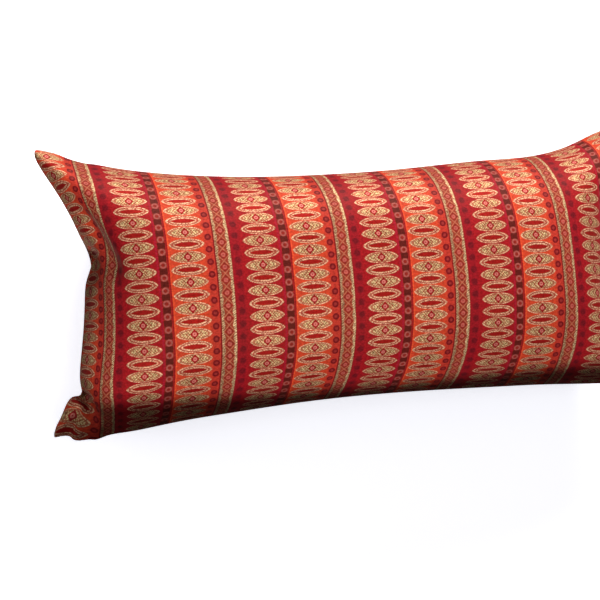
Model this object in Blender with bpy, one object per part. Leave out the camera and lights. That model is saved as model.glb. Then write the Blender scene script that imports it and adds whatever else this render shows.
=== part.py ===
"""A filled lumbar pillow cover in striped brocade, lying on its back.

Two equal cloth panels are sewn together round a knife edge, and the filling
lifts them. Metres, +Z up: X runs along the cushion, Y across it, and Z out of
the face that is looked at. The back is pressed flat where it rests.

The woven panels hardly stretch, so the shape is worked out in cloth places:
each thread keeps its length, and the outline draws in as the cloth rises.
"""

import bpy
import numpy as np

# Driving dimensions
PANEL_LENGTH = 0.610       # finished panel, seam to seam, lying flat
PANEL_HEIGHT = 0.305
SEAM_REST_HEIGHT = 0.052   # the seam's height above the surface it rests on
BACK_SHARE = 0.88          # how full the back is beside the front, before it is pressed
PRESS_ROUNDING = 0.009     # depth over which the back turns from round to flat
LEAST_THICKNESS = 0.0035   # two folded panels and the seam allowance between them

# The filling's lift: the angle at which each long side leaves the seam, and
# how the angle falls off towards the crown line
FRONT_ANGLE_TOP = 78.1     # degrees
FRONT_ANGLE_BOTTOM = 82.5
FALL_TOP = 1.0
FALL_BOTTOM = 0.95
CROWN_LINE = 0.002         # the crown lies a little above the middle

# How that angle holds towards the two short ends (power of the share of half
# the length, then the power of what is left)
LEFT_END = (3.2, 0.30)
RIGHT_END = (5.2, 0.31)
END_ANGLES = (82.5, 88.0)  # degrees at which the cloth leaves the left and right seams
BLEND = 9                  # how tightly the two forms meet
RUN_SMOOTHING = 0.006      # neighbouring threads share their slack over this
CORNER_DRAW = 0.004        # a corner's point is rounded off by this when it is turned out

# Mesh sizes
FINE_ALONG, FINE_ACROSS = 240, 120
CELLS_ALONG, CELLS_ACROSS = 60, 30
EDGE_CROWDING = 0.45       # share of the spacing that crowds towards the edges

# Where the sewn cloth is pulled away from that even form. A place is a share
# of half the panel, and reach, right, up and out are in millimetres.
PULLS = (
    # place along, across, reach, right, up, out
    (-1.00, 1.00, 62, -3, -7, 10),       # upper left ear
    (-1.00, -1.00, 50, 19, 32, -1),      # lower left ear, drawn in
    (-1.00, -1.00, 32, -21, -19, -2),    # and its corner, pulled out
    (-0.94, -1.00, 20, -6, -5, 3),        # the seam under that ear
    (-1.00, 0.27, 36, 8, 7, -11),        # the left seam's pinch
    (-1.00, 0.62, 40, 2, 0, 8),          # left seam, upper half
    (-1.00, -0.40, 45, -3, 10, 10),      # left seam, lower half
    (1.00, 1.00, 62, 13, 3, 3),          # upper right ear
    (1.00, -1.00, 62, 15, 24, 3),        # lower right ear
    (1.00, 0.15, 42, 22, -24, 12),       # the right seam's pinch
    (-0.62, 1.00, 75, 3, 4, -5),         # slack along the top seam
    (-0.10, 1.00, 130, -4, -3, 17),
    (0.50, 1.00, 90, 2, 6, 1),
    (-0.55, -1.00, 90, 2, -3, 3),        # slack along the bottom seam
    (0.00, -1.00, 110, -3, 2, 10),
    (0.62, -1.00, 90, 11, -2, -13),
)

# Folds that the slack cloth falls into. A place is in millimetres from the
# nearer end seam and from the middle line; the turn is in degrees.
FOLDS = (
    # end, from end, up, turn, half length, softness, half width, depth
    ("left", 12, -110, -25, 24, 8, 10, 15),   # the lower left ear's hollow
    ("left", 43, 47, 118, 30, 12, 10, 7),     # the kink beside the left seam
    ("left", 0, 38, -12, 26, 12, 12, 5),      # from the left pinch inwards
    ("right", 0, 14, 180, 38, 13, 15, 9),     # from the right pinch inwards
)

MM = 0.001


def hump(x):
    """One at the middle, dying away smoothly over about one unit."""
    return np.exp(-x ** 2)


def running_sum(slope, step, axis):
    """The height reached by walking along an axis with a given slope."""
    low = np.take(slope, range(0, slope.shape[axis] - 1), axis)
    high = np.take(slope, range(1, slope.shape[axis]), axis)
    walked = np.cumsum(0.5 * (low + high) * step, axis)
    return np.concatenate([np.zeros_like(np.take(walked, [0], axis)), walked], axis)


def fold_depth(along, across):
    """How far the folds press the front in, in metres."""
    depth = np.zeros_like(along)
    for end, inward, up, turn, half, soft, width, deep in FOLDS:
        side = -1 if end == "left" else 1
        middle = side * (PANEL_LENGTH / 2 - inward * MM)
        angle = np.radians(turn)
        right = along - middle
        over = across - up * MM
        on_line = right * np.cos(angle) + over * np.sin(angle)
        off_line = over * np.cos(angle) - right * np.sin(angle)
        fade = 0.5 - 0.5 * np.tanh((np.abs(on_line) - half * MM) / (soft * MM))
        depth = depth + deep * MM * hump(off_line / (width * MM)) * fade
    return depth


def softer_of(one, other):
    """The lesser of two heights, rounded where they cross."""
    tiny = 1e-9
    return ((one + tiny) ** -BLEND + (other + tiny) ** -BLEND) ** (-1 / BLEND)


def shared_across(run, step):
    """Each row's run averaged with its neighbours' across the cushion."""
    reach = int(3 * RUN_SMOOTHING / step)
    weights = hump(np.arange(-reach, reach + 1) * step / (np.sqrt(2) * RUN_SMOOTHING))
    weights = weights / weights.sum()
    padded = np.pad(run, ((0, 0), (reach, reach)), mode="edge")
    count = run.shape[1]
    return sum(w * padded[:, i:i + count] for i, w in enumerate(weights))


def filled_height(along, across, step_b):
    """Height above the seam before any fold: the long sides leave the seam
    at a set angle that falls to nothing at the crown line, and a round arc
    closes each end.
    """
    share = np.abs(2 * along / PANEL_LENGTH)
    left = (1 - share ** LEFT_END[0]).clip(0) ** LEFT_END[1]
    right = (1 - share ** RIGHT_END[0]).clip(0) ** RIGHT_END[1]
    lift = np.where(along < 0, left, right)
    beyond = across - CROWN_LINE
    above = (beyond / (PANEL_HEIGHT / 2 - CROWN_LINE)).clip(0)
    below = (-beyond / (PANEL_HEIGHT / 2 + CROWN_LINE)).clip(0)
    top = np.radians(FRONT_ANGLE_TOP) * above ** FALL_TOP
    bottom = np.radians(FRONT_ANGLE_BOTTOM) * below ** FALL_BOTTOM
    height = running_sum(np.sin(lift * (bottom - top)), step_b, 1)
    height = height - height[:, -1:] * np.linspace(0, 1, FINE_ACROSS + 1)
    leaving = np.radians(np.where(along < 0, END_ANGLES[0], END_ANGLES[1]))
    radius = height.max() / (1 - np.cos(leaving))
    inward = PANEL_LENGTH / 2 - np.abs(along)
    arc = radius * (np.cos((leaving - inward / radius).clip(0)) - np.cos(leaving))
    return softer_of(height.clip(0), arc)


def lifted_front():
    """Cloth places and the front panel's points (x, y, z) above the seam."""
    a = np.linspace(-PANEL_LENGTH / 2, PANEL_LENGTH / 2, FINE_ALONG + 1)
    b = np.linspace(-PANEL_HEIGHT / 2, PANEL_HEIGHT / 2, FINE_ACROSS + 1)
    step_a = a[1] - a[0]
    step_b = b[1] - b[0]
    along, across = np.meshgrid(a, b, indexing="ij")
    height = filled_height(along, across, step_b)
    folded = height - fold_depth(along, across)

    climb = np.gradient(folded, step_b, axis=1)
    y = running_sum(np.sqrt((1 - climb ** 2).clip(0.01)), step_b, 1)
    y = y - y[:, FINE_ACROSS // 2][:, None]
    lean = np.gradient(y, step_a, axis=0) ** 2 + np.gradient(folded, step_a, axis=0) ** 2
    run = shared_across(np.sqrt((1 - lean).clip(0.02)), step_b)
    x = running_sum(run, step_a, 0)
    x = x - x[FINE_ALONG // 2]
    return along, across, x, y, height, folded


def pulled(along, across, x, y, out):
    """The points after the seams' own pulls; the two panels share them."""
    for place_a, place_b, reach, right, up, lift in PULLS:
        off_a = along - place_a * PANEL_LENGTH / 2
        off_b = across - place_b * PANEL_HEIGHT / 2
        weight = hump(np.hypot(off_a, off_b) / (reach * MM))
        x = x + right * MM * weight
        y = y + up * MM * weight
        out = out + lift * MM * weight
    return x, y, out


def pressed(depth):
    """The back's depth, level where it would pass the resting surface."""
    start = SEAM_REST_HEIGHT - PRESS_ROUNDING
    over = (depth - start).clip(0, 2 * PRESS_ROUNDING)
    return np.minimum(depth, start) + over - over ** 2 / (4 * PRESS_ROUNDING)


def crowded(cells, fine):
    """Fine row numbers for a coarser net that is closer near its edges."""
    u = np.linspace(-1, 1, cells + 1)
    eased = (1 - EDGE_CROWDING) * u + EDGE_CROWDING * np.sin(np.pi * u / 2)
    return np.unique(np.round((eased + 1) * fine / 2).astype(int))


def panels():
    """The front and back nets, equal along the seam."""
    along, across, x, y, height, folded = lifted_front()
    x, y, lift = pulled(along, across, x, y, np.zeros_like(x))
    from_end = PANEL_LENGTH / 2 - np.abs(along)
    from_side = PANEL_HEIGHT / 2 - np.abs(across)
    nearness = np.exp(-(from_end + from_side) / (2 * CORNER_DRAW))
    x = x - np.sign(along) * CORNER_DRAW * nearness
    y = y - np.sign(across) * CORNER_DRAW * nearness
    back = -pressed(BACK_SHARE * height - lift)
    away = 1 - np.maximum(np.abs(2 * along / PANEL_LENGTH), np.abs(2 * across / PANEL_HEIGHT))
    skin = LEAST_THICKNESS * np.minimum(away / 0.05, 1)
    front = np.maximum(folded + lift, back + skin)
    rim = away < 1e-9
    seam = lift[rim]
    front[rim] = seam
    back[rim] = seam
    rows = crowded(CELLS_ALONG, FINE_ALONG)
    columns = crowded(CELLS_ACROSS, FINE_ACROSS)
    pick = np.ix_(rows, columns)
    return x[pick], y[pick], front[pick], back[pick]


def sewn_net(x, y, front, back):
    """Points and faces of both panels, with one row of points at the seam."""
    rows, columns = x.shape
    front_ids = np.arange(rows * columns).reshape(rows, columns)
    inside = np.zeros((rows, columns), bool)
    inside[1:-1, 1:-1] = True
    back_ids = front_ids.copy()
    back_ids[inside] = rows * columns + np.arange(inside.sum())
    points = np.concatenate([
        np.stack([x.ravel(), y.ravel(), front.ravel()], 1),
        np.stack([x[inside], y[inside], back[inside]], 1),
    ])
    faces = []
    for ids, turned in ((front_ids, False), (back_ids, True)):
        corners = np.stack([ids[:-1, :-1], ids[1:, :-1], ids[1:, 1:], ids[:-1, 1:]], -1)
        quads = corners.reshape(-1, 4)
        faces.append(quads[:, ::-1] if turned else quads)
    return points, np.concatenate(faces)


def resting(points):
    """The points moved so that the box stands centred on the origin."""
    low = points.min(0)
    high = points.max(0)
    return points - np.array([(low[0] + high[0]) / 2, (low[1] + high[1]) / 2, low[2]])


def brocade():
    """The cover's mean colour: crimson and orange silk with gold thread."""
    material = bpy.data.materials.new("crimson_and_gold_brocade")
    material.use_nodes = True
    shader = material.node_tree.nodes["Principled BSDF"]
    shader.inputs["Base Color"].default_value = (0.42, 0.05, 0.03, 1)
    shader.inputs["Roughness"].default_value = 0.55
    shader.inputs["Metallic"].default_value = 0.0
    return material


for old in list(bpy.data.objects):
    bpy.data.objects.remove(old, do_unlink=True)

net_points, net_faces = sewn_net(*panels())
mesh = bpy.data.meshes.new("filled_cover")
mesh.from_pydata(resting(net_points).tolist(), [], net_faces.tolist())
mesh.shade_smooth()
mesh.materials.append(brocade())
mesh.validate()
cover = bpy.data.objects.new("filled_cover", mesh)
bpy.context.scene.collection.objects.link(cover)
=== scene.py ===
# %% [markdown]
# # A lumbar pillow cover in striped brocade
#
# The real object is a long cushion: two equal panels of silk brocade sewn
# together round a knife edge and filled. This lesson dresses its packed
# solid. The solid gives the size and the place, and everything here is in
# metres in the same frame: X runs along the cushion, Y across it, and Z out
# of the face that is looked at. The cushion lies on its back.

import bpy
import numpy as np
from mathutils import Matrix, Vector


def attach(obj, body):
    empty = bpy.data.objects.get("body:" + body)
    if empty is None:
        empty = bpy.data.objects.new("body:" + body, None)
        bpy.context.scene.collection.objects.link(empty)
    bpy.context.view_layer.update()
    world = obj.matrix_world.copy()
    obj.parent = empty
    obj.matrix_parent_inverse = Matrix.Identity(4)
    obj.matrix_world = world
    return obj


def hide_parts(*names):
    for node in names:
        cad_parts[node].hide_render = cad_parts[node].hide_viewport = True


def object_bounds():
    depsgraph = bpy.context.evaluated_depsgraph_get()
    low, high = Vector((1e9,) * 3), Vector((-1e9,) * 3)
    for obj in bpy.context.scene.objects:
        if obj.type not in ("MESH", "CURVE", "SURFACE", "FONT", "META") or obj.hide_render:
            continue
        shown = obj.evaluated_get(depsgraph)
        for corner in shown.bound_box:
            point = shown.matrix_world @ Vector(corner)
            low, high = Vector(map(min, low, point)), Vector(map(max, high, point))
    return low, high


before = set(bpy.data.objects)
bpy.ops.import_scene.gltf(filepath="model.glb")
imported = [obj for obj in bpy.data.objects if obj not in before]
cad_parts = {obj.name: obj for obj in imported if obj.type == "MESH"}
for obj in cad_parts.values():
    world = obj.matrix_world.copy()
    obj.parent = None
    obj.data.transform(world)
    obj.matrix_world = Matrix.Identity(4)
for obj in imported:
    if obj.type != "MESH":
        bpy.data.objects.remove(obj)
cad_box = [list(map(float, corner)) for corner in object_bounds()]
print("solid's box:", np.round(cad_box, 4).tolist())

# %% [markdown]
# ## The cut of the cloth
#
# A woven panel hardly stretches. So the shape is worked out in cloth places,
# the flat panel's own length and height, and every thread keeps its length
# while the filling lifts it. That is why the outline draws in between the
# four corners, and why the stripes bend as they do. A cloth simulation could
# find a similar form, but it wouldn't put the folds where this cushion has
# them, so the lift, the pulls and the folds are written down instead.

# %% Sizes of the panel and its lift
MM = 0.001
PANEL_LENGTH = 0.610
PANEL_HEIGHT = 0.305
SEAM_REST_HEIGHT = 0.052
BACK_SHARE = 0.88
PRESS_ROUNDING = 0.009
LEAST_THICKNESS = 0.0035

# Angles are in degrees, and lengths in metres. A fall is the power by which
# an angle dies away, and an end's pair of powers lowers the lift towards it.
ANGLE_TOP, FALL_TOP = 78.1, 1.0
ANGLE_BOTTOM, FALL_BOTTOM = 82.5, 0.95
CROWN_LINE = 0.002
LEFT_END = (3.2, 0.30)
RIGHT_END = (5.2, 0.31)
END_ANGLES = (82.5, 88.0)
BLEND = 9
RUN_SMOOTHING = 0.006
CORNER_DRAW = 0.004

# The square of a run never falls below these, however steep the cloth is.
LEAST_RUN_UP, LEAST_RUN_ALONG = 0.01, 0.02
# The least thickness tapers off over this share of the half panel, beside
# the seam.
THIN_RIM = 0.05
TINY = 1e-9

FINE_ALONG, FINE_ACROSS = 480, 240
CELLS_ALONG, CELLS_ACROSS = 316, 150
EDGE_CROWDING = 0.45
print("panel, mm:", PANEL_LENGTH / MM, "by", PANEL_HEIGHT / MM)

# %% Pulls and folds
# A pull's place is a share of half the panel; reach and shifts are in mm.
PULLS = (
    # along, across, reach, right, up, out
    (-1.00, 1.00, 62, -3, -7, 10),
    (-1.00, -1.00, 50, 19, 32, -1),
    (-1.00, -1.00, 32, -21, -19, -2),
    (-0.94, -1.00, 20, -6, -5, 3),
    (-1.00, 0.27, 36, 8, 7, -11),
    (-1.00, 0.62, 40, 2, 0, 8),
    (-1.00, -0.40, 45, -3, 10, 10),
    (1.00, 1.00, 62, 13, 3, 3),
    (1.00, -1.00, 62, 15, 24, 3),
    (1.00, 0.15, 42, 22, -24, 12),
    (-0.62, 1.00, 75, 3, 4, -5),
    (-0.10, 1.00, 130, -4, -3, 17),
    (0.50, 1.00, 90, 2, 6, 1),
    (-0.55, -1.00, 90, 2, -3, 3),
    (0.00, -1.00, 110, -3, 2, 10),
    (0.62, -1.00, 90, 11, -2, -13),
)
# A fold's place is in mm from the nearer end seam and from the middle line.
FOLDS = (
    # end, from end, up, turn, half length, softness, half width, depth
    ("left", 12, -110, -25, 24, 8, 10, 15),   # the lower left ear's hollow
    ("left", 43, 47, 118, 30, 12, 10, 7),     # the kink beside the left seam
    ("left", 0, 38, -12, 26, 12, 12, 5),      # from the left pinch inwards
    ("right", 0, 14, 180, 38, 13, 15, 9),     # from the right pinch inwards
)
print(len(PULLS), "pulls and", len(FOLDS), "folds")

# %% [markdown]
# ## From flat panel to filled cushion
#
# Each short function below is one rule of the form, worked out for the whole
# panel at once. `running_sum` walks along the cloth, `fold_depth` presses the
# folds in, and `filled_height` is the lift itself.

# %% The rules of the form
def hump(x):
    """One at the middle, dying away as the exponential of minus x squared."""
    return np.exp(-x ** 2)


def running_sum(slope, step, axis):
    """The height reached by walking along an axis: the sum of the mean
    slope of each step times the step's length."""
    low = np.take(slope, range(0, slope.shape[axis] - 1), axis)
    high = np.take(slope, range(1, slope.shape[axis]), axis)
    walked = np.cumsum(0.5 * (low + high) * step, axis)
    return np.concatenate([np.zeros_like(np.take(walked, [0], axis)), walked], axis)


def fold_depth(along, across):
    """Each fold is a hump across its line, faded out at the line's ends."""
    depth = np.zeros_like(along)
    for end, inward, up, turn, half, soft, width, deep in FOLDS:
        side = -1 if end == "left" else 1
        angle = np.radians(turn)
        right = along - side * (PANEL_LENGTH / 2 - inward * MM)
        over = across - up * MM
        on_line = right * np.cos(angle) + over * np.sin(angle)
        off_line = over * np.cos(angle) - right * np.sin(angle)
        fade = 0.5 - 0.5 * np.tanh((np.abs(on_line) - half * MM) / (soft * MM))
        depth = depth + deep * MM * hump(off_line / (width * MM)) * fade
    return depth


def softer_of(one, other):
    """The lesser of two heights, rounded where they cross: the sum of both
    to a negative power, brought back by the inverse power."""
    return ((one + TINY) ** -BLEND + (other + TINY) ** -BLEND) ** (-1 / BLEND)


def shared_across(run, step):
    """Each row's run averaged with its neighbours' by a bell of weights."""
    reach = int(3 * RUN_SMOOTHING / step)
    weights = hump(np.arange(-reach, reach + 1) * step / (np.sqrt(2) * RUN_SMOOTHING))
    weights = weights / weights.sum()
    padded = np.pad(run, ((0, 0), (reach, reach)), mode="edge")
    count = run.shape[1]
    return sum(w * padded[:, i:i + count] for i, w in enumerate(weights))


def filled_height(along, across, step_b):
    """Height above the seam: the sum of the sine of the cloth's angle, which
    is greatest at each long seam and nothing at the crown line, under a
    round arc at each end."""
    share = np.abs(2 * along / PANEL_LENGTH)
    left = (1 - share ** LEFT_END[0]).clip(0) ** LEFT_END[1]
    right = (1 - share ** RIGHT_END[0]).clip(0) ** RIGHT_END[1]
    lift = np.where(along < 0, left, right)
    beyond = across - CROWN_LINE
    above = (beyond / (PANEL_HEIGHT / 2 - CROWN_LINE)).clip(0)
    below = (-beyond / (PANEL_HEIGHT / 2 + CROWN_LINE)).clip(0)
    top = np.radians(ANGLE_TOP) * above ** FALL_TOP
    bottom = np.radians(ANGLE_BOTTOM) * below ** FALL_BOTTOM
    height = running_sum(np.sin(lift * (bottom - top)), step_b, 1)
    height = height - height[:, -1:] * np.linspace(0, 1, FINE_ACROSS + 1)
    leaving = np.radians(np.where(along < 0, END_ANGLES[0], END_ANGLES[1]))
    radius = height.max() / (1 - np.cos(leaving))
    inward = PANEL_LENGTH / 2 - np.abs(along)
    arc = radius * (np.cos((leaving - inward / radius).clip(0)) - np.cos(leaving))
    return softer_of(height.clip(0), arc)


def pressed(depth):
    """The back's depth, level where it would pass the resting surface."""
    start = SEAM_REST_HEIGHT - PRESS_ROUNDING
    over = (depth - start).clip(0, 2 * PRESS_ROUNDING)
    return np.minimum(depth, start) + over - over ** 2 / (4 * PRESS_ROUNDING)


print("the rules are ready")

# %% The filled panels
def panels():
    """Cloth places and the front's and back's points on the full fine net.
    The thread that climbs runs less far: its run is the square root of one
    minus its slope squared."""
    a = np.linspace(-PANEL_LENGTH / 2, PANEL_LENGTH / 2, FINE_ALONG + 1)
    b = np.linspace(-PANEL_HEIGHT / 2, PANEL_HEIGHT / 2, FINE_ACROSS + 1)
    step_a, step_b = a[1] - a[0], b[1] - b[0]
    along, across = np.meshgrid(a, b, indexing="ij")
    height = filled_height(along, across, step_b)
    folded = height - fold_depth(along, across)
    climb = np.gradient(folded, step_b, axis=1)
    y = running_sum(np.sqrt((1 - climb ** 2).clip(LEAST_RUN_UP)), step_b, 1)
    y = y - y[:, FINE_ACROSS // 2][:, None]
    lean = np.gradient(y, step_a, axis=0) ** 2 + np.gradient(folded, step_a, axis=0) ** 2
    run = np.sqrt((1 - lean).clip(LEAST_RUN_ALONG))
    x = running_sum(shared_across(run, step_b), step_a, 0)
    x = x - x[FINE_ALONG // 2]
    lift = np.zeros_like(x)
    for place_a, place_b, reach, right, up, out in PULLS:
        off_a = along - place_a * PANEL_LENGTH / 2
        off_b = across - place_b * PANEL_HEIGHT / 2
        off = np.hypot(off_a, off_b)
        weight = hump(off / (reach * MM)) * MM
        x, y, lift = x + right * weight, y + up * weight, lift + out * weight
    from_end = PANEL_LENGTH / 2 - np.abs(along)
    from_side = PANEL_HEIGHT / 2 - np.abs(across)
    nearness = CORNER_DRAW * np.exp(-(from_end + from_side) / (2 * CORNER_DRAW))
    x, y = x - np.sign(along) * nearness, y - np.sign(across) * nearness
    back = -pressed(BACK_SHARE * height - lift)
    away = 1 - np.maximum(np.abs(2 * along / PANEL_LENGTH), np.abs(2 * across / PANEL_HEIGHT))
    skin = LEAST_THICKNESS * np.minimum(away / THIN_RIM, 1)
    front = np.maximum(folded + lift, back + skin)
    rim = away < TINY
    front[rim] = back[rim] = lift[rim]
    along = along - np.sign(along) * nearness
    across = across - np.sign(across) * nearness
    return along, across, x, y, front, back


def crowded(cells, fine_cells):
    """Row numbers eased by a sine, so that they crowd towards the edges."""
    u = np.linspace(-1, 1, cells + 1)
    eased = (1 - EDGE_CROWDING) * u + EDGE_CROWDING * np.sin(np.pi * u / 2)
    return (eased + 1) * fine_cells / 2


def sampled(net, rows, columns):
    """A net read between its own points, straight from one to the next."""
    r, c = np.floor(rows).astype(int), np.floor(columns).astype(int)
    r, c = r.clip(0, net.shape[0] - 2), c.clip(0, net.shape[1] - 2)
    fr, fc = (rows - r)[:, None], (columns - c)[None, :]
    near = net[np.ix_(r, c)] * (1 - fc) + net[np.ix_(r, c + 1)] * fc
    far = net[np.ix_(r + 1, c)] * (1 - fc) + net[np.ix_(r + 1, c + 1)] * fc
    return near * (1 - fr) + far * fr


rows = crowded(CELLS_ALONG, FINE_ALONG)
columns = crowded(CELLS_ACROSS, FINE_ACROSS)
along, across, x, y, front, back = (sampled(net, rows, columns) for net in panels())
print("crown above the seam, mm:", round(float(front.max()) / MM, 1))

# %% [markdown]
# ## Sewing the two panels together
#
# The seam is one shared row of points. The cover is turned right side out, so
# its allowance is inside and the stitches pull the seam into a fine groove.
# The rim is set a little inside the line between its neighbours for that.

# %% The sewn mesh
SEAM_GROOVE = 0.0009


def grooved(x, y):
    """The rim drawn towards the panels by the groove's depth: each rim point
    moves by it along the line to the second point inside."""
    x, y = x.copy(), y.copy()
    dx, dy = np.zeros_like(x), np.zeros_like(y)
    dx[0], dy[0] = x[2] - x[0], y[2] - y[0]
    dx[-1], dy[-1] = x[-3] - x[-1], y[-3] - y[-1]
    dx[:, 0], dy[:, 0] = x[:, 2] - x[:, 0], y[:, 2] - y[:, 0]
    dx[:, -1], dy[:, -1] = x[:, -3] - x[:, -1], y[:, -3] - y[:, -1]
    length = np.hypot(dx, dy) + TINY
    return x + SEAM_GROOVE * dx / length, y + SEAM_GROOVE * dy / length


def sewn_cover(name):
    """Both nets as one closed mesh over the solid's middle, resting at zero
    height, with the cloth places as its UV map."""
    gx, gy = grooved(x, y)
    count_a, count_b = x.shape
    front_ids = np.arange(count_a * count_b).reshape(count_a, count_b)
    inside = np.zeros((count_a, count_b), bool)
    inside[1:-1, 1:-1] = True
    back_ids = front_ids.copy()
    back_ids[inside] = count_a * count_b + np.arange(inside.sum())
    points = np.concatenate([
        np.stack([gx.ravel(), gy.ravel(), front.ravel()], 1),
        np.stack([gx[inside], gy[inside], back[inside]], 1),
    ])
    places = np.stack([along + PANEL_LENGTH / 2, across + PANEL_HEIGHT / 2], -1)
    places = places.reshape(-1, 2)
    places = np.concatenate([places, places[inside.ravel()]])
    quads = []
    for ids, turned in ((front_ids, False), (back_ids, True)):
        corners = np.stack([ids[:-1, :-1], ids[1:, :-1], ids[1:, 1:], ids[:-1, 1:]], -1)
        quads.append(corners.reshape(-1, 4)[:, ::-1] if turned else corners.reshape(-1, 4))
    quads = np.concatenate(quads)
    middle = np.mean(np.array(cad_box), axis=0)
    low, high = points.min(0), points.max(0)
    rests_at = [(low[0] + high[0]) / 2, (low[1] + high[1]) / 2, low[2]]
    shift = np.array([middle[0], middle[1], 0]) - rests_at
    mesh = bpy.data.meshes.new(name)
    mesh.from_pydata((points + shift).tolist(), [], quads.tolist())
    cloth = mesh.uv_layers.new(name="cloth")
    cloth.data.foreach_set("uv", places[quads.ravel()].astype(np.float32).ravel())
    mesh.shade_smooth()
    cover = bpy.data.objects.new(name, mesh)
    bpy.context.scene.collection.objects.link(cover)
    return cover, shift


cover, shift = sewn_cover("brocade_cover")
print("cover:", len(cover.data.polygons), "faces")
print("moved by mm:", np.round(shift / MM, 1).tolist())

# %% [markdown]
# ## Reading the cloth like a weaver
#
# The brocade has one repeat of six stripes, about 112 mm wide, and its small
# figures sit on rows 11.5 mm apart. A picture of the cloth would be the quick
# way, but the figures are simple, so each is drawn by its own formula from
# the thread's place: an oval, a lozenge, a ring, a rope edge. All lengths are
# the real ones, in millimetres.

# %% One function for adding nodes
def linear(hexed):
    """sRGB hex to linear light: each channel over 12.92 when it is dark, and
    the 2.4 power of (c + 0.055) / 1.055 above that."""
    parts = [int(hexed[i:i + 2], 16) / 255 for i in (0, 2, 4)]
    return [c / 12.92 if c <= 0.04045 else ((c + 0.055) / 1.055) ** 2.4 for c in parts] + [1.0]


def add(kind, *values, **settings):
    """Adds a node to the open tree. A kind is a node type, with a maths
    operation after a colon if it has one. The values fill its shown sockets
    in order: a socket is linked, anything else is set. Its first shown
    output comes back."""
    name, _, operation = kind.partition(":")
    node = tree.nodes.new("ShaderNode" + name)
    if operation:
        node.operation = operation
    for key, value in settings.items():
        setattr(node, key, value)
    shown = [socket for socket in node.inputs if socket.enabled]
    for socket, value in zip(shown, values):
        if isinstance(value, bpy.types.NodeSocket):
            tree.links.new(value, socket)
        elif value is not None:
            socket.default_value = value
    return next((socket for socket in node.outputs if socket.enabled), None)


# Silk brocade: a crimson silk ground with gold-wrapped threads floated over
# it. The silk gives depth of colour with a soft bloom at grazing angles, and
# the gold gives broken bright flecks.
brocade = bpy.data.materials.new("silk_brocade_with_gold_thread")
brocade.use_nodes = True
tree = brocade.node_tree
tree.nodes.clear()
print("opened", brocade.name)

# %% Rows and repeats
# Places along and up the cloth, in mm.
REPEAT = 111.9
ROWS_IN_PANEL = 26.6
ROW = PANEL_HEIGHT / MM / ROWS_IN_PANEL
FIRST_RIBBON = 46.9
ROW_ZERO = 145.6
# Threads wander: patches about 40 mm wide, by up to half of each amount.
WANDER_SCALE, WANDER_ALONG, WANDER_UP = 26.0, 1.2, 0.9

uv = add("UVMap", uv_map="cloth")
uneven = add("TexNoise", uv, WANDER_SCALE, 2.0, noise_dimensions="2D")
uneven = add("Math:SUBTRACT", uneven, 0.5)
place_mm = add("SeparateXYZ", add("VectorMath:SCALE", uv, 1 / MM)).node
length_mm = add("Math:MULTIPLY_ADD", uneven, WANDER_ALONG, place_mm.outputs["X"])
height_mm = add("Math:MULTIPLY_ADD", uneven, WANDER_UP, place_mm.outputs["Y"])
repeats = add("Math:DIVIDE", add("Math:SUBTRACT", length_mm, FIRST_RIBBON), REPEAT)
in_repeat = add("Math:MULTIPLY", add("Math:FRACT", repeats), REPEAT)
# The ribbon's own distance is signed: less than nothing on its left.
half_on = add("Math:FRACT", add("Math:ADD", repeats, 0.5))
from_ribbon = add("Math:MULTIPLY", add("Math:SUBTRACT", half_on, 0.5), REPEAT)
row_place = add("Math:DIVIDE", add("Math:SUBTRACT", height_mm, ROW_ZERO), ROW)
row_number = add("Math:ROUND", row_place)
off_row = add("Math:MULTIPLY", add("Math:SUBTRACT", row_place, row_number), ROW)
past_half = add("Math:SUBTRACT", add("Math:FRACT", row_place), 0.5)
off_half_row = add("Math:MULTIPLY", past_half, ROW)
above_row = add("Math:ABSOLUTE", off_row)
above_half = add("Math:ABSOLUTE", off_half_row)
print("row pitch, mm:", round(ROW, 2), "repeat, mm:", REPEAT)

# %% [markdown]
# ### The big ovals
#
# Crimson and orange stripes both carry a ladder of ovals. They come in two
# kinds by turns: a filled gold one with a lozenge, and an outlined one with a
# double gold ring. One measure draws both: it is nothing at the middle of an
# oval and one at its edge.

# %% Ovals
RED_AT, ORANGE_AT, HALFWAY = 35.3, 80.2, 57.7
OVAL_HALF_LENGTH, OVAL_HALF_HEIGHT = 16.0, 5.35
LENS_HALF_LENGTH, LENS_HALF_HEIGHT = 11.4, 2.3
LOZENGE_HALF_LENGTH, LOZENGE_HALF_HEIGHT = 4.3, 4.7
# The powers give an oval round tips and a fuller belly, and a lens sharp ones.
TIP_POWER, BELLY_POWER, LENS_BELLY_POWER = 2.2, 1.6, 1.3
# An edge is a pair of measures: nothing at the first, all there at the second.
OVAL_EDGE, INNER_EDGE = (1.04, 0.96), (0.84, 0.76)
GAP_OUTER_EDGE, GAP_INNER_EDGE = (0.80, 0.72), (0.52, 0.60)
LENS_EDGE, LOZENGE_EDGE = (1.15, 0.85), (1.08, 0.92)
CHEVRON_AT, CHEVRON_EDGE, CHEVRON_SHARE = 1.62, (0.22, 0.08), 0.7
EYE_EDGE, PUPIL_EDGE = (2.1, 1.6), (0.9, 0.4)

in_orange = add("Math:GREATER_THAN", in_repeat, HALFWAY)
centre = add("Math:MULTIPLY_ADD", in_orange, ORANGE_AT - RED_AT, RED_AT)
off_centre = add("Math:SUBTRACT", in_repeat, centre)
beside = add("Math:ABSOLUTE", off_centre)
tip = add("Math:POWER", add("Math:DIVIDE", beside, OVAL_HALF_LENGTH), TIP_POWER)
belly = add("Math:POWER", add("Math:DIVIDE", above_row, OVAL_HALF_HEIGHT), BELLY_POWER)
oval = add("Math:ADD", tip, belly)
# The kinds take turns up a stripe, and the orange stripe is a row ahead.
turn = add("Math:FRACT", add("Math:MULTIPLY", add("Math:ADD", row_number, in_orange), 0.5))
outlined = add("Math:GREATER_THAN", turn, 0.25)
filled = add("Math:SUBTRACT", 1.0, outlined)

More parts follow.
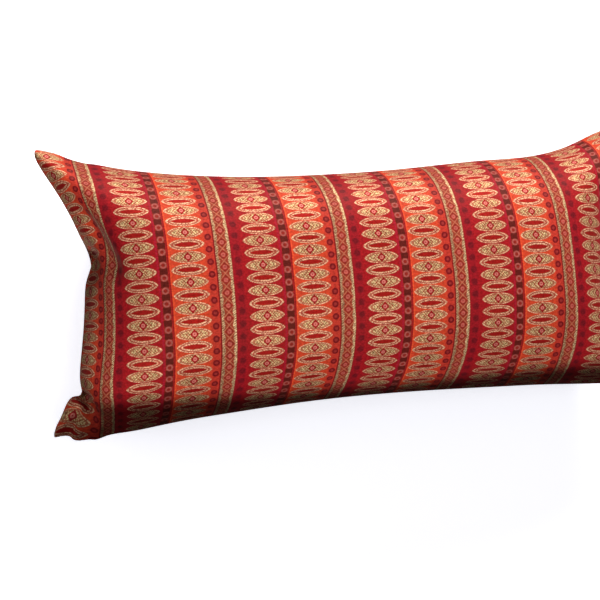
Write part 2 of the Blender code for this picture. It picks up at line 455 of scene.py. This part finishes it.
oval_all = add("MapRange", oval, *OVAL_EDGE)
oval_inner = add("MapRange", oval, *INNER_EDGE)
gap_outside = add("MapRange", oval, *GAP_OUTER_EDGE)
gap = add("Math:MULTIPLY", gap_outside, add("MapRange", oval, *GAP_INNER_EDGE))
lens_tip = add("Math:POWER", add("Math:DIVIDE", beside, LENS_HALF_LENGTH), TIP_POWER)
lens_high = add("Math:DIVIDE", above_row, LENS_HALF_HEIGHT)
lens_belly = add("Math:POWER", lens_high, LENS_BELLY_POWER)
lens = add("MapRange", add("Math:ADD", lens_tip, lens_belly), *LENS_EDGE)
lozenge_long = add("Math:DIVIDE", beside, LOZENGE_HALF_LENGTH)
lozenge_high = add("Math:DIVIDE", above_row, LOZENGE_HALF_HEIGHT)
lozenge_measure = add("Math:ADD", lozenge_long, lozenge_high)
lozenge = add("MapRange", lozenge_measure, *LOZENGE_EDGE)
off_chevron = add("Math:ABSOLUTE", add("Math:SUBTRACT", lozenge_measure, CHEVRON_AT))
chevron = add("MapRange", off_chevron, *CHEVRON_EDGE, 0.0, CHEVRON_SHARE)
from_eye = add("VectorMath:LENGTH", add("CombineXYZ", off_centre, off_row))
eye = add("MapRange", from_eye, *EYE_EDGE)
pupil = add("MapRange", from_eye, *PUPIL_EDGE)
print("ovals", 2 * OVAL_HALF_LENGTH, "by", 2 * OVAL_HALF_HEIGHT, "mm")

# %% [markdown]
# ### Gold thread
#
# The gold weft is bound down in slanting lines, so it reads as a herringbone:
# light strokes with greenish brown shadows between them. The real strokes are
# about a millimetre apart. They are drawn two and a half times as coarse,
# because finer ones would melt into one plain tone at this picture's size.

# %% Herringbone and slub
STROKE = 2.5
STROKE_SLANT = 0.9
# Patches to a metre of cloth: slubs are 2.4 by 1.6 mm, flecks 2.3 by 1.8 mm.
SLUB_GRAIN = (420.0, 640.0, 1.0)
FLECK_GRAIN = (430.0, 560.0, 1.0)
# How far the strokes swing the light of the gold, then the slub's swing and
# the level that it swings about.
GOLD_SWINGS, RING_SWINGS = (0.38, 3.0, -1.05), (0.22, 2.6, -0.75)

slant = add("Math:SUBTRACT", beside, add("Math:MULTIPLY", above_row, STROKE_SLANT))
strokes = add("Math:SINE", add("Math:MULTIPLY", slant, 2 * np.pi / STROKE))
slub_place = add("VectorMath:MULTIPLY", uv, SLUB_GRAIN)
slub = add("TexNoise", slub_place, 1.0, 2.0, 0.6, noise_dimensions="2D")
fleck_place = add("VectorMath:MULTIPLY", uv, FLECK_GRAIN)
fleck = add("TexNoise", fleck_place, 1.0, 3.0, 0.7, noise_dimensions="2D")
slub_light = add("Math:MULTIPLY_ADD", slub, *GOLD_SWINGS[1:])
gold_light = add("Math:MULTIPLY_ADD", strokes, GOLD_SWINGS[0], slub_light)
slub_light = add("Math:MULTIPLY_ADD", slub, *RING_SWINGS[1:])
ring_light = add("Math:MULTIPLY_ADD", strokes, RING_SWINGS[0], slub_light)
COLOURS = {"data_type": "RGBA", "clamp_factor": True}
gold_mix = add("Mix", gold_light, linear("8A5838"), linear("E0C08C"), **COLOURS)
pink_gold = add("Mix", ring_light, linear("94402E"), linear("EEBE96"), **COLOURS)
print("strokes every", STROKE, "mm")

# %% [markdown]
# ### The ribbon and the narrow bands
#
# Between the orange and the crimson runs a ribbon: rope-like gold edges, a
# rust net of crossing threads, and a lozenge with an eye on each row. The
# other bands hold single dots and rings on the rows or between them.

# %% Ribbon
RIBBON_EDGE = (6.9, 6.5)
# The gold edge starts this far from the middle, and further beside a lozenge.
ROPE_STARTS, ROPE_GIVES_WAY, ROPE_EDGE = 3.5, 1.5, (-0.25, 0.25)
ROPE_SLANT, ROPE_SWINGS = 1.6, (0.5, 2.4, -0.72)
# The ribbon's left edge has duller gold than its right one.
DULL_SIDE = 0.6
NET_SLANT, NET_EDGE = 0.95, (0.9, 0.4)
# The diamond is the ribbon's own lozenge, and the bead is the eye in it.
DIAMOND_HALF_LENGTH, DIAMOND_HALF_HEIGHT, DIAMOND_EDGE = 4.3, 4.6, (1.05, 0.9)
BEAD_EDGE, BEAD_PUPIL_EDGE = (2.3, 1.8), (0.9, 0.5)

beside_ribbon = add("Math:ABSOLUTE", from_ribbon)
ribbon = add("MapRange", beside_ribbon, *RIBBON_EDGE)
towards_row = add("Math:SUBTRACT", 1.0, add("Math:DIVIDE", above_row, ROW / 2))
edge_in = add("Math:MULTIPLY_ADD", towards_row, ROPE_GIVES_WAY, ROPE_STARTS)
ribbon_edge = add("MapRange", add("Math:SUBTRACT", beside_ribbon, edge_in), *ROPE_EDGE)

rope_slant = add("Math:ADD", from_ribbon, add("Math:MULTIPLY", height_mm, ROPE_SLANT))
rope = add("Math:SINE", add("Math:MULTIPLY", rope_slant, 2 * np.pi / STROKE))
slub_light = add("Math:MULTIPLY_ADD", slub, *ROPE_SWINGS[1:])
rope_light = add("Math:MULTIPLY_ADD", rope, ROPE_SWINGS[0], slub_light)
side_light = add("MapRange", from_ribbon, -1.0, 1.0, DULL_SIDE, 1.0)
rope_light = add("Math:MULTIPLY", rope_light, side_light)
rope_gold = add("Mix", rope_light, linear("6E3222"), linear("E8C694"), **COLOURS)

net_line = add("Math:MULTIPLY", above_half, NET_SLANT)
off_net = add("Math:ABSOLUTE", add("Math:SUBTRACT", beside_ribbon, net_line))
net = add("MapRange", off_net, *NET_EDGE)
diamond_long = add("Math:DIVIDE", beside_ribbon, DIAMOND_HALF_LENGTH)
diamond_high = add("Math:DIVIDE", above_row, DIAMOND_HALF_HEIGHT)
ribbon_lozenge = add("MapRange", add("Math:ADD", diamond_long, diamond_high), *DIAMOND_EDGE)
from_bead = add("VectorMath:LENGTH", add("CombineXYZ", from_ribbon, off_row))
bead = add("MapRange", from_bead, *BEAD_EDGE)
bead_pupil = add("MapRange", from_bead, *BEAD_PUPIL_EDGE)
print("ribbon, mm wide:", sum(RIBBON_EDGE))

# %% Narrow bands
# Places in the repeat, and from the maroon band's middle, in mm.
CRIMSON_DOTS_AT, MAROON_AT, ORANGE_DOTS_AT, LAST_LINE_AT = 12.6, 57.5, 99.9, 104.6
LILAC_FROM_MAROON, DARK_FROM_MAROON, PALE_FROM_MAROON = -4.9, 4.6, 6.1
# Edges again: nothing at the first distance, all there at the second.
CRIMSON_BAND_EDGE, CRIMSON_DOT_EDGE = (17.0, 15.0), (4.0, 2.2)
MAROON_EDGE, BLOCK_EDGE = (3.8, 3.3), (3.2, 2.4)
RING_OUTER_EDGE, RING_INNER_EDGE = (3.4, 2.9), (1.4, 1.9)
LILAC_EDGE, DARK_EDGE, PALE_EDGE = (1.1, 0.5), (0.9, 0.4), (0.9, 0.3)
REDDER_EDGE, ORANGE_DOT_EDGE, DOT_EYE_EDGE = (94.5, 97.5), (3.4, 2.8), (1.9, 0.9)
LAST_LINE_EDGE, ORANGE_EDGE = (0.9, 0.5), (60.8, 62.2)

off_dots = add("Math:SUBTRACT", in_repeat, CRIMSON_DOTS_AT)
from_dot = add("VectorMath:LENGTH", add("CombineXYZ", off_dots, off_half_row))
crimson_band = add("MapRange", in_repeat, *CRIMSON_BAND_EDGE)
crimson_dot = add("MapRange", from_dot, *CRIMSON_DOT_EDGE)

off_maroon = add("Math:SUBTRACT", in_repeat, MAROON_AT)
beside_maroon = add("Math:ABSOLUTE", off_maroon)
maroon = add("MapRange", beside_maroon, *MAROON_EDGE)
maroon_block = add("Math:MULTIPLY", maroon, add("MapRange", above_row, *BLOCK_EDGE))
from_ring = add("VectorMath:LENGTH", add("CombineXYZ", off_maroon, off_half_row))
ring_outside = add("MapRange", from_ring, *RING_OUTER_EDGE)
ring = add("Math:MULTIPLY", ring_outside, add("MapRange", from_ring, *RING_INNER_EDGE))
off_lilac = add("Math:ABSOLUTE", add("Math:SUBTRACT", off_maroon, LILAC_FROM_MAROON))
off_dark = add("Math:ABSOLUTE", add("Math:SUBTRACT", off_maroon, DARK_FROM_MAROON))
off_pale = add("Math:ABSOLUTE", add("Math:SUBTRACT", off_maroon, PALE_FROM_MAROON))
lilac_line = add("MapRange", off_lilac, *LILAC_EDGE)
dark_line = add("MapRange", off_dark, *DARK_EDGE)
pale_line = add("MapRange", off_pale, *PALE_EDGE)

off_orange_dots = add("Math:SUBTRACT", in_repeat, ORANGE_DOTS_AT)
from_orange_dot = add("VectorMath:LENGTH", add("CombineXYZ", off_orange_dots, off_half_row))
redder_band = add("Math:MULTIPLY", in_orange, add("MapRange", in_repeat, *REDDER_EDGE))
orange_dot = add("MapRange", from_orange_dot, *ORANGE_DOT_EDGE)
orange_dot_eye = add("MapRange", from_orange_dot, *DOT_EYE_EDGE)
off_last_line = add("Math:ABSOLUTE", add("Math:SUBTRACT", in_repeat, LAST_LINE_AT))
last_line = add("MapRange", off_last_line, *LAST_LINE_EDGE)
print("bands at", CRIMSON_DOTS_AT, MAROON_AT, ORANGE_DOTS_AT, "mm")

# %% [markdown]
# ### Laying the colours
#
# The colours are laid as a weaver would list them, ground first and the
# finest thread last. Each line names where a thread shows and its colour.

# %% Colours
orange_ground = add("MapRange", in_repeat, *ORANGE_EDGE)
ground = add("Mix", orange_ground, linear("98161D"), linear("C23E26"), data_type="RGBA")
filled_oval = add("Math:MULTIPLY", oval_all, filled)
outlined_oval = add("Math:MULTIPLY", oval_all, outlined)
LAYERS = (
    # within, where, colour
    (None, crimson_band, linear("911620")),
    (crimson_band, crimson_dot, linear("6C121C")),
    (None, maroon, linear("86241E")),
    (maroon, maroon_block, linear("5A1A16")),
    (None, ring, linear("A05048")),
    (None, lilac_line, linear("9C1A2C")),
    (None, dark_line, linear("8A141C")),
    (None, pale_line, linear("D84A2A")),
    (None, redder_band, linear("B43428")),
    (redder_band, orange_dot, linear("6E1218")),
    (redder_band, orange_dot_eye, linear("922C2A")),
    (None, outlined_oval, pink_gold),
    (outlined_oval, gap, linear("A04434")),
    (outlined_oval, lens, linear("981A18")),
    (None, filled_oval, pink_gold),
    (filled_oval, oval_inner, gold_mix),
    (filled_oval, gap, linear("A85A42")),
    (filled_oval, chevron, linear("9A2A22")),
    (filled_oval, lozenge, linear("90161C")),
    (filled_oval, eye, linear("CE7468")),
    (filled_oval, pupil, linear("98242A")),
    (None, last_line, linear("7A1018")),
    (None, ribbon, linear("8E3426")),
    (ribbon, net, linear("AE6046")),
    (ribbon, ribbon_edge, rope_gold),
    (ribbon, ribbon_lozenge, linear("86241E")),
    (ribbon, bead, linear("B2564A")),
    (ribbon, bead_pupil, linear("9C3834")),
)
FLECK_SWING, THREAD_TONE = 1.0, 0.64

colour = ground
for within, where, thread in LAYERS:
    share = where if within is None else add("Math:MULTIPLY", within, where)
    colour = add("Mix", share, colour, thread, data_type="RGBA")
# Single threads are lighter or darker than their neighbours.
shade = add("Math:MULTIPLY_ADD", add("Math:SUBTRACT", fleck, 0.5), FLECK_SWING, THREAD_TONE)
colour = add("Mix", 1.0, colour, shade, data_type="RGBA", blend_type="MULTIPLY")
print(len(LAYERS), "layers of thread")

# %% [markdown]
# ### The silk's surface
#
# The gold floats stand a tenth of a millimetre or two above the ground, and
# the whole cloth has the fine rib of its weft. Silk is a smooth fibre, but so
# many small threads scatter its highlight. So the cloth is rough, blooms a
# little towards its edges, and shines faintly in the gold's own tint.

# %% The finished cloth
RIB_PITCH = 1.3
GOLD_RISE, SLUB_RISE, RIB_RISE = 0.8, 0.9, 0.08
BUMP_STRENGTH, BUMP_HEIGHT = 0.5, 0.25 * MM
GOLD_METAL = 0.3
SILK = (
    # socket, value
    ("Roughness", 0.6),
    ("Sheen Weight", 0.1),
    ("Sheen Roughness", 0.35),
    ("Sheen Tint", linear("FFC9B8")),
    ("Specular IOR Level", 0.1),
    ("Specular Tint", linear("D89A6C")),
)

gold_where = add("Math:MAXIMUM", oval_all, add("Math:MULTIPLY", ribbon, ribbon_edge))
ribs = add("Math:SINE", add("Math:MULTIPLY", height_mm, 2 * np.pi / RIB_PITCH))
relief = add("Math:MULTIPLY_ADD", slub, SLUB_RISE, add("Math:MULTIPLY", ribs, RIB_RISE))
relief = add("Math:MULTIPLY_ADD", gold_where, GOLD_RISE, relief)
bump = add("Bump", BUMP_STRENGTH, BUMP_HEIGHT, None, relief)
silk = add("BsdfPrincipled", colour)
tree.links.new(bump, silk.node.inputs["Normal"])
tree.links.new(add("Math:MULTIPLY", gold_where, GOLD_METAL), silk.node.inputs["Metallic"])
for socket, value in SILK:
    silk.node.inputs[socket].default_value = value
add("OutputMaterial", silk)
cover.data.materials.append(brocade)
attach(cover, "root")
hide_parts("filled_cover")
print("cover dressed in", brocade.name)

# %% [markdown]
# ## A plain studio
#
# The floor is pale and plain. One large soft light stands beyond the top edge
# of the picture, so the top of the crown is brightest. Two weak ones fill the
# face and the left end. The last is a narrow beam with an even, oval patch of
# light: it covers the whole length of the cushion and stops just above its
# lowest edge, which stays in deep shade as it does in the photograph.

# %% Floor
FLOOR_HALF = 6.0
FLOOR_DROP = 0.4 * MM
FLOOR_GLOW = 0.78


def floor_board():
    """A flat square under the cushion, wide enough to fill every view."""
    mesh = bpy.data.meshes.new("studio_floor")
    signs = ((-1, -1), (1, -1), (1, 1), (-1, 1))
    corners = [(FLOOR_HALF * sx, FLOOR_HALF * sy, -FLOOR_DROP) for sx, sy in signs]
    mesh.from_pydata(corners, [], [(0, 1, 2, 3)])
    board = bpy.data.objects.new("studio_floor", mesh)
    bpy.context.scene.collection.objects.link(board)
    return board


# Matt white paper over a light table: to the eye it glows evenly. Towards the
# cushion it counts as dark, as if black flags stood round it, so that the
# underside keeps its deep shade.
floor = floor_board()
paper = bpy.data.materials.new("matt_white_paper")
paper.use_nodes = True
tree = paper.node_tree
tree.nodes.clear()
seen = add("LightPath")
paper_colour = add("Mix", seen, linear("161618"), linear("F8F8FA"), data_type="RGBA")
glow = add("Emission", linear("F8F8FF"), add("Math:MULTIPLY", seen, FLOOR_GLOW))
add("OutputMaterial", add("AddShader", add("BsdfDiffuse", paper_colour, 0.0), glow))
floor.data.materials.append(paper)
print("floor", 2 * FLOOR_HALF, "m wide")

# %% Lights
SOFT_LIGHTS = (
    # name, place, power, size, tint
    ("top_softbox", (0.6, 2.3, 0.8), 150, 1.2, (1.0, 0.985, 0.96)),
    ("face_softbox", (-0.2, -0.2, 2.4), 11, 1.4, (1.0, 1.0, 1.0)),
    ("side_softbox", (-1.9, 0.3, 1.1), 11, 1.0, (1.0, 1.0, 1.0)),
)
SOFT_AIM = (0, 0, 0.06)
BEAM_PLACE, BEAM_AIM, BEAM_LEVEL = (-0.15, -1.30, 2.20), (0, 0.114, 0.1), (1, -0.02, 0)
BEAM_POWER, BEAM_RADIUS = 284, 0.012
BEAM_HALF_ANGLE, BEAM_BLEND, BEAM_STRETCH = 4.7, 0.12, 6
SKY_STRENGTH = 0.02


def soft_light(name, place, power, size, tint):
    """A square area light at a place, aimed at the cushion's middle."""
    data = bpy.data.lights.new(name, "AREA")
    data.energy, data.size, data.color = power, size, tint
    lamp = bpy.data.objects.new(name, data)
    lamp.location = place
    lamp.rotation_euler = (Vector(SOFT_AIM) - Vector(place)).to_track_quat("-Z", "Y").to_euler()
    bpy.context.scene.collection.objects.link(lamp)


def oval_beam(name):
    """A spot stretched along the cushion. Its axes are the way back from the
    aim, the level way along the cushion, and the way across both."""
    data = bpy.data.lights.new(name, "SPOT")
    data.energy, data.shadow_soft_size = BEAM_POWER, BEAM_RADIUS
    data.spot_size, data.spot_blend = np.radians(2 * BEAM_HALF_ANGLE), BEAM_BLEND
    lamp = bpy.data.objects.new(name, data)
    back_way = (Vector(BEAM_PLACE) - Vector(BEAM_AIM)).normalized()
    across_way = back_way.cross(Vector(BEAM_LEVEL)).normalized()
    level_way = across_way.cross(back_way)
    turned = Matrix((level_way, across_way, back_way)).transposed().to_4x4()
    stretched = Matrix.Diagonal((BEAM_STRETCH, 1, 1, 1))
    lamp.matrix_world = Matrix.Translation(BEAM_PLACE) @ turned @ stretched
    bpy.context.scene.collection.objects.link(lamp)


for light in SOFT_LIGHTS:
    soft_light(*light)
oval_beam("face_spot")
world = bpy.data.worlds.new("pale_studio")
world.use_nodes = True
sky = world.node_tree.nodes["Background"]
sky.inputs["Color"].default_value = linear("F2F3F8")
sky.inputs["Strength"].default_value = SKY_STRENGTH
bpy.context.scene.world = world
bpy.context.scene.view_settings.view_transform = "Standard"
print("lit by", len(SOFT_LIGHTS), "soft boxes and one beam")

# %% [markdown]
# ## The camera
#
# The camera looks nearly square on to the shown face, a little from its left,
# at about one and a half metres. The angles were found from the weave: its
# rows and repeats are even, so they measure the view.

# %% Camera
# The focus is in pixels of a picture that is 600 wide.
YAW, PITCH, ROLL = np.radians([16.43, -3.86, -5.14])
DISTANCE, FOCUS, PICTURE_WIDTH = 1.5, 1569.3, 600
SENSOR_WIDTH = 36.0
AIM = Vector((-0.0547, -0.0122, 0.0)) + Vector(shift.tolist())

out = Vector((-np.sin(YAW) * np.cos(PITCH), np.sin(PITCH), np.cos(YAW) * np.cos(PITCH)))
right = Vector((0, 1, 0)).cross(out).normalized()
up = out.cross(right)
rolled_right = np.cos(ROLL) * right + np.sin(ROLL) * up
rolled_up = -np.sin(ROLL) * right + np.cos(ROLL) * up
lens_data = bpy.data.cameras.new("studio_camera")
lens_data.sensor_fit = "HORIZONTAL"
lens_data.sensor_width = SENSOR_WIDTH
lens_data.lens = FOCUS / PICTURE_WIDTH * SENSOR_WIDTH
camera = bpy.data.objects.new("studio_camera", lens_data)
turned = Matrix((rolled_right, rolled_up, out)).transposed().to_4x4()
camera.matrix_world = Matrix.Translation(AIM + DISTANCE * out) @ turned
bpy.context.scene.collection.objects.link(camera)
bpy.context.scene.camera = camera
print("camera at", [round(v, 3) for v in camera.matrix_world.translation])
